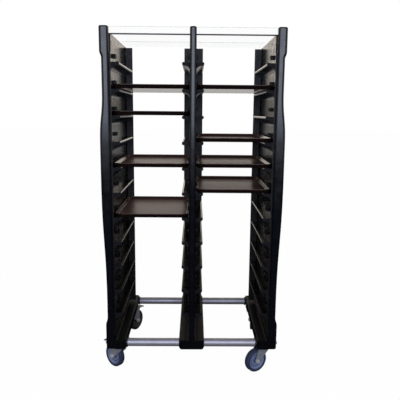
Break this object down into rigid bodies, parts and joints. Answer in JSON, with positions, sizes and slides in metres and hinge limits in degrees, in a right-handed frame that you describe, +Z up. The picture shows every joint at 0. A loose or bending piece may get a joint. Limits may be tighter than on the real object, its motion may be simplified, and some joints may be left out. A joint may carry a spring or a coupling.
{
  "type": "tray trolley",
  "caption": "Tall open two-bay tray trolley with moulded uprights, ledges for sliding serving trays, a clear cover and swivel casters, some with brakes.",
  "frame": {"origin": "on the floor under the middle of the uprights", "axes": "+X to the right seen from the front, +Y to the rear, +Z up"},
  "size_m": [0.9257, 0.6683, 1.752],
  "materials": {
    "panel": "satin moulded, near black",
    "post": "satin moulded, near black with a blue cast",
    "base": "satin moulded, near black",
    "ledge": "satin moulded, near black",
    "keeper": "satin moulded, near black",
    "tube": "satin anodised",
    "collar": "satin, light grey",
    "plug": "matt",
    "fastener": "zinc plated",
    "clear_cover": "clear, glossy",
    "strip": "satin",
    "zinc": "zinc plated, pressed",
    "rim": "satin moulded, blue grey",
    "tyre": "matt, blue grey",
    "pedal": "zinc plated, pressed",
    "tray": "satin, dark brown"
  },
  "bodies": {
    "frame": {"left_side_panel": "panel", "centre_panel": "panel", "right_side_panel": "panel", "left_front_post": "post", "centre_front_post": "post", "right_front_post": "post", "left_base": "base", "centre_base": "base", "right_base": "base", "left_tray_ledges": "ledge", "centre_left_tray_ledges": "ledge", "centre_right_tray_ledges": "ledge", "right_tray_ledges": "ledge", "tray_keepers": "keeper", "front_cross_tube": "tube", "rear_cross_tube": "tube", "tube_collars": "collar", "tube_plugs": "plug", "tube_bolts": "fastener", "top_cover": "clear_cover", "cover_strip": "strip", "cover_screws": "fastener", "plate_bolts": "fastener", "front_left_caster_plate": "zinc", "front_left_king_bolt": "fastener", "front_right_caster_plate": "zinc", "front_right_king_bolt": "fastener", "rear_left_caster_plate": "zinc", "rear_left_king_bolt": "fastener", "rear_right_caster_plate": "zinc", "rear_right_king_bolt": "fastener"},
    "front_left_swivel": {"front_left_fork": "zinc", "front_left_axle": "fastener"},
    "front_left_wheel": {"front_left_rim": "rim", "front_left_tyre": "tyre"},
    "front_left_brake": {"front_left_brake_pedal": "pedal"},
    "front_right_swivel": {"front_right_fork": "zinc", "front_right_axle": "fastener"},
    "front_right_wheel": {"front_right_rim": "rim", "front_right_tyre": "tyre"},
    "rear_left_swivel": {"rear_left_fork": "zinc", "rear_left_axle": "fastener"},
    "rear_left_wheel": {"rear_left_rim": "rim", "rear_left_tyre": "tyre"},
    "rear_left_brake": {"rear_left_brake_pedal": "pedal"},
    "rear_right_swivel": {"rear_right_fork": "zinc", "rear_right_axle": "fastener"},
    "rear_right_wheel": {"rear_right_rim": "rim", "rear_right_tyre": "tyre"},
    "tray_left_2": {"tray_left_2": "tray"},
    "tray_left_3": {"tray_left_3": "tray"},
    "tray_left_5": {"tray_left_5": "tray"},
    "tray_left_7": {"tray_left_7": "tray"},
    "tray_right_2": {"tray_right_2": "tray"},
    "tray_right_4": {"tray_right_4": "tray"},
    "tray_right_5": {"tray_right_5": "tray"},
    "tray_right_6": {"tray_right_6": "tray"}
  },
  "joints": [
    {"name": "front_left_caster_swivel", "type": "hinge", "parent": "frame", "child": "front_left_swivel", "pos_m": [-0.38, -0.229, 0.139], "axis": [0, 0, 1], "continuous": true},
    {"name": "front_left_wheel_roll", "type": "hinge", "parent": "front_left_swivel", "child": "front_left_wheel", "pos_m": [-0.41381, -0.1993, 0.0625], "axis": [-0.66, -0.7513, 0], "continuous": true},
    {"name": "front_left_brake_press", "type": "hinge", "parent": "front_left_swivel", "child": "front_left_brake", "pos_m": [-0.41907, -0.19468, 0.133], "axis": [-0.66, -0.7513, 0], "range_deg": [0, 12]},
    {"name": "front_right_caster_swivel", "type": "hinge", "parent": "frame", "child": "front_right_swivel", "pos_m": [0.38, -0.229, 0.139], "axis": [0, 0, 1], "continuous": true},
    {"name": "front_right_wheel_roll", "type": "hinge", "parent": "front_right_swivel", "child": "front_right_wheel", "pos_m": [0.34143, -0.25218, 0.0625], "axis": [0.515, -0.8572, 0], "continuous": true},
    {"name": "rear_left_caster_swivel", "type": "hinge", "parent": "frame", "child": "rear_left_swivel", "pos_m": [-0.38, 0.229, 0.139], "axis": [0, 0, 1], "continuous": true},
    {"name": "rear_left_wheel_roll", "type": "hinge", "parent": "rear_left_swivel", "child": "rear_left_wheel", "pos_m": [-0.35887, 0.26873, 0.0625], "axis": [-0.8829, 0.4695, 0], "continuous": true},
    {"name": "rear_left_brake_press", "type": "hinge", "parent": "rear_left_swivel", "child": "rear_left_brake", "pos_m": [-0.35559, 0.27491, 0.133], "axis": [-0.8829, 0.4695, 0], "range_deg": [0, 12]},
    {"name": "rear_right_caster_swivel", "type": "hinge", "parent": "frame", "child": "rear_right_swivel", "pos_m": [0.38, 0.229, 0.139], "axis": [0, 0, 1], "continuous": true},
    {"name": "rear_right_wheel_roll", "type": "hinge", "parent": "rear_right_swivel", "child": "rear_right_wheel", "pos_m": [0.38781, 0.27332, 0.0625], "axis": [-0.9848, 0.1736, 0], "continuous": true},
    {"name": "tray_left_2_slide", "type": "slide", "parent": "frame", "child": "tray_left_2", "axis": [0, -1, 0], "range_m": [0, 0.4]},
    {"name": "tray_left_3_slide", "type": "slide", "parent": "frame", "child": "tray_left_3", "axis": [0, -1, 0], "range_m": [0, 0.4]},
    {"name": "tray_left_5_slide", "type": "slide", "parent": "frame", "child": "tray_left_5", "axis": [0, -1, 0], "range_m": [0, 0.4]},
    {"name": "tray_left_7_slide", "type": "slide", "parent": "frame", "child": "tray_left_7", "axis": [0, -1, 0], "range_m": [0, 0.4]},
    {"name": "tray_right_2_slide", "type": "slide", "parent": "frame", "child": "tray_right_2", "axis": [0, -1, 0], "range_m": [0, 0.4]},
    {"name": "tray_right_4_slide", "type": "slide", "parent": "frame", "child": "tray_right_4", "axis": [0, -1, 0], "range_m": [0, 0.4]},
    {"name": "tray_right_5_slide", "type": "slide", "parent": "frame", "child": "tray_right_5", "axis": [0, -1, 0], "range_m": [0, 0.4]},
    {"name": "tray_right_6_slide", "type": "slide", "parent": "frame", "child": "tray_right_6", "axis": [0, -1, 0], "range_m": [0, 0.4]}
  ]
}
